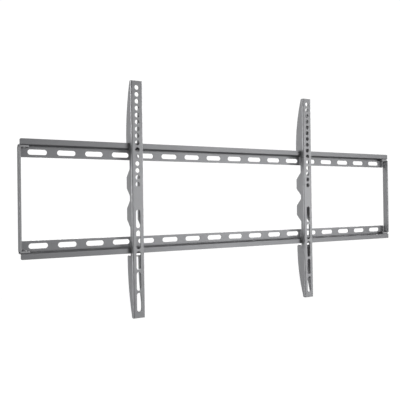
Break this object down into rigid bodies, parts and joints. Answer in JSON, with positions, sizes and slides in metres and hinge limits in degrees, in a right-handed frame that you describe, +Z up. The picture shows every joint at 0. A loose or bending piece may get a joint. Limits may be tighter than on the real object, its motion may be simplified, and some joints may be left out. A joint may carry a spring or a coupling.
{
  "type": "television wall mount",
  "caption": "Low-profile television wall mount: a long open frame of two slotted steel rails with end bars, and two upright channel arms hooked over its upper lip.",
  "frame": {"origin": "centre of the pattern of wall slots, on the face that lies on the wall", "axes": "+X along the plate to the right as seen from the room, +Y into the wall, +Z up"},
  "size_m": [0.868, 0.0275, 0.428],
  "materials": {
    "plate_paint": "fine satin powder coat, mid grey",
    "bar_paint": "fine satin powder coat, mid grey",
    "arm_paint": "fine satin powder coat, mid grey",
    "rivet_steel": "bright zinc plated steel"
  },
  "bodies": {
    "root": {"upper_rail": "plate_paint", "lower_rail": "plate_paint", "left_end_bar": "bar_paint", "right_end_bar": "bar_paint", "upper_left_rivet": "rivet_steel", "lower_left_rivet": "rivet_steel", "upper_right_rivet": "rivet_steel", "lower_right_rivet": "rivet_steel", "left_arm": "arm_paint", "right_arm": "arm_paint"}
  },
  "joints": []
}
